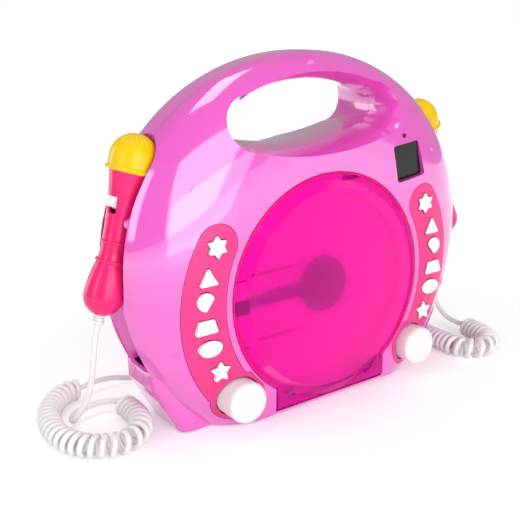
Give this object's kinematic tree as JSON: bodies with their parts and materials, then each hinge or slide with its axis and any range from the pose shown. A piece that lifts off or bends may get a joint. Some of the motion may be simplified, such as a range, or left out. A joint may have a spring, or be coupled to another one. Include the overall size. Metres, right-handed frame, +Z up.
{
  "type": "karaoke machine",
  "caption": "Pink toy karaoke machine with a carrying handle, a hinged disc lid, shaped push buttons, turning knobs and clipped microphones on curly cords.",
  "frame": {"origin": "on the floor under the middle of the case's width and depth, cords left out", "axes": "+X to the right as seen from the front, -Y out of the lid, +Z up"},
  "size_m": [0.3459, 0.1401, 0.233],
  "materials": {
    "case_pink": "semi-gloss pink moulded plastic",
    "panel_pink": "gloss hot pink inlay",
    "clear_lid": "translucent magenta, frosted on its flat top",
    "white_plastic": "semi-gloss white",
    "white_cord": "satin soft white vinyl",
    "mic_pink": "gloss strong pink",
    "mic_yellow": "semi-gloss yellow",
    "dark_plastic": "matt black",
    "dark_glass": "polished dark window",
    "light_lens": "polished red lens",
    "board_green": "satin board",
    "steel": "bright steel",
    "spring_steel": "dark oiled steel",
    "black_rubber": "matt"
  },
  "bodies": {
    "root": {"front_shell": "case_pink", "rear_shell": "case_pink", "lid_springs": "spring_steel", "lid_catch": "case_pink", "disc_deck": "case_pink", "spindle_motor": "steel", "mechanism_plate": "steel", "sled_motor": "steel", "knob_controls": "steel", "key_boards": "board_green", "display_window": "dark_glass", "display_module": "dark_plastic", "power_light": "light_lens", "main_board": "board_green", "speakers": "dark_plastic", "battery_tray": "case_pink", "rear_sockets": "dark_plastic", "case_screws": "steel", "rubber_feet": "black_rubber", "cord_glands": "white_plastic", "left_button_panel": "panel_pink", "left_mic_clip": "case_pink", "left_cord_curls": "white_cord", "left_cord_tail": "white_cord", "right_button_panel": "panel_pink", "right_mic_clip": "case_pink", "right_cord_curls": "white_cord", "right_cord_tail": "white_cord"},
    "lid": {"disc_lid": "clear_lid", "lid_hinge_pins": "steel"},
    "hub": {"disc_hub": "dark_plastic"},
    "pickup": {"laser_pickup": "dark_plastic"},
    "gear": {"sled_gear": "white_plastic"},
    "door": {"battery_door": "case_pink"},
    "left_six_point_star_key": {"left_six_point_star_button": "white_plastic"},
    "left_triangle_key": {"left_triangle_button": "white_plastic"},
    "left_drop_key": {"left_drop_button": "white_plastic"},
    "left_trapezium_key": {"left_trapezium_button": "white_plastic"},
    "left_oval_key": {"left_oval_button": "white_plastic"},
    "left_five_point_star_key": {"left_five_point_star_button": "white_plastic"},
    "left_dial": {"left_knob": "white_plastic"},
    "left_mic": {"left_mic_handle": "mic_pink", "left_mic_head": "mic_yellow", "left_mic_capsule": "dark_plastic", "left_mic_relief": "white_cord", "left_mic_lead": "white_cord"},
    "left_switch": {"left_mic_switch": "white_plastic"},
    "right_six_point_star_key": {"right_six_point_star_button": "white_plastic"},
    "right_triangle_key": {"right_triangle_button": "white_plastic"},
    "right_drop_key": {"right_drop_button": "white_plastic"},
    "right_trapezium_key": {"right_trapezium_button": "white_plastic"},
    "right_oval_key": {"right_oval_button": "white_plastic"},
    "right_five_point_star_key": {"right_five_point_star_button": "white_plastic"},
    "right_dial": {"right_knob": "white_plastic"},
    "right_mic": {"right_mic_handle": "mic_pink", "right_mic_head": "mic_yellow", "right_mic_capsule": "dark_plastic", "right_mic_relief": "white_cord", "right_mic_lead": "white_cord"},
    "right_switch": {"right_mic_switch": "white_plastic"}
  },
  "joints": [
    {"name": "lid_hinge", "type": "hinge", "parent": "root", "child": "lid", "pos_m": [0, -0.028, 0.0145], "axis": [1, 0, 0], "range_deg": [0, 55], "deforming": ["lid_springs"]},
    {"name": "hub_spin", "type": "hinge", "parent": "root", "child": "hub", "pos_m": [0, -0.0265, 0.083], "axis": [0, 1, 0], "continuous": true},
    {"name": "laser_slide", "type": "slide", "parent": "root", "child": "pickup", "axis": [-1, 0, 0], "range_m": [0, 0.027]},
    {"name": "gear_spin", "type": "hinge", "parent": "root", "child": "gear", "pos_m": [-0.038, -0.01875, 0.0558], "axis": [0, 1, 0], "range_deg": [-258, 0]},
    {"name": "left_six_point_star_press", "type": "slide", "parent": "root", "child": "left_six_point_star_key", "axis": [0, 1, 0], "range_m": [0, 0.0012], "stiffness_N_per_m": 250, "springref_m": -0.001},
    {"name": "left_triangle_press", "type": "slide", "parent": "root", "child": "left_triangle_key", "axis": [0, 1, 0], "range_m": [0, 0.0012], "stiffness_N_per_m": 250, "springref_m": -0.001},
    {"name": "left_drop_press", "type": "slide", "parent": "root", "child": "left_drop_key", "axis": [0, 1, 0], "range_m": [0, 0.0012], "stiffness_N_per_m": 250, "springref_m": -0.001},
    {"name": "left_trapezium_press", "type": "slide", "parent": "root", "child": "left_trapezium_key", "axis": [0, 1, 0], "range_m": [0, 0.0012], "stiffness_N_per_m": 250, "springref_m": -0.001},
    {"name": "left_oval_press", "type": "slide", "parent": "root", "child": "left_oval_key", "axis": [0, 1, 0], "range_m": [0, 0.0012], "stiffness_N_per_m": 250, "springref_m": -0.001},
    {"name": "left_five_point_star_press", "type": "slide", "parent": "root", "child": "left_five_point_star_key", "axis": [0, 1, 0], "range_m": [0, 0.0012], "stiffness_N_per_m": 250, "springref_m": -0.001},
    {"name": "left_knob_turn", "type": "hinge", "parent": "root", "child": "left_dial", "pos_m": [-0.0725, -0.033, 0.0245], "axis": [0, 1, 0], "range_deg": [-150, 150]},
    {"name": "left_mic_pull", "type": "slide", "parent": "root", "child": "left_mic", "axis": [-1, 0, 0], "range_m": [0, 0.03], "deforming": ["left_mic_lead"]},
    {"name": "left_mic_switch_slide", "type": "slide", "parent": "left_mic", "child": "left_switch", "axis": [-0.3206, 0, -0.9472], "range_m": [0, 0.0034]},
    {"name": "right_six_point_star_press", "type": "slide", "parent": "root", "child": "right_six_point_star_key", "axis": [0, 1, 0], "range_m": [0, 0.0012], "stiffness_N_per_m": 250, "springref_m": -0.001},
    {"name": "right_triangle_press", "type": "slide", "parent": "root", "child": "right_triangle_key", "axis": [0, 1, 0], "range_m": [0, 0.0012], "stiffness_N_per_m": 250, "springref_m": -0.001},
    {"name": "right_drop_press", "type": "slide", "parent": "root", "child": "right_drop_key", "axis": [0, 1, 0], "range_m": [0, 0.0012], "stiffness_N_per_m": 250, "springref_m": -0.001},
    {"name": "right_trapezium_press", "type": "slide", "parent": "root", "child": "right_trapezium_key", "axis": [0, 1, 0], "range_m": [0, 0.0012], "stiffness_N_per_m": 250, "springref_m": -0.001},
    {"name": "right_oval_press", "type": "slide", "parent": "root", "child": "right_oval_key", "axis": [0, 1, 0], "range_m": [0, 0.0012], "stiffness_N_per_m": 250, "springref_m": -0.001},
    {"name": "right_five_point_star_press", "type": "slide", "parent": "root", "child": "right_five_point_star_key", "axis": [0, 1, 0], "range_m": [0, 0.0012], "stiffness_N_per_m": 250, "springref_m": -0.001},
    {"name": "right_knob_turn", "type": "hinge", "parent": "root", "child": "right_dial", "pos_m": [0.0725, -0.033, 0.0245], "axis": [0, 1, 0], "range_deg": [-150, 150]},
    {"name": "right_mic_pull", "type": "slide", "parent": "root", "child": "right_mic", "axis": [1, 0, 0], "range_m": [0, 0.03], "deforming": ["right_mic_lead"]},
    {"name": "right_mic_switch_slide", "type": "slide", "parent": "right_mic", "child": "right_switch", "axis": [0.3206, 0, -0.9472], "range_m": [0, 0.0034]},
    {"name": "battery_door_pull", "type": "slide", "parent": "root", "child": "door", "axis": [0, 1, 0], "range_m": [0, 0.015]}
  ],
  "couplings": [
    {"joint": "gear_spin", "follows": "laser_slide", "rad_per_m": -166.67}
  ]
}
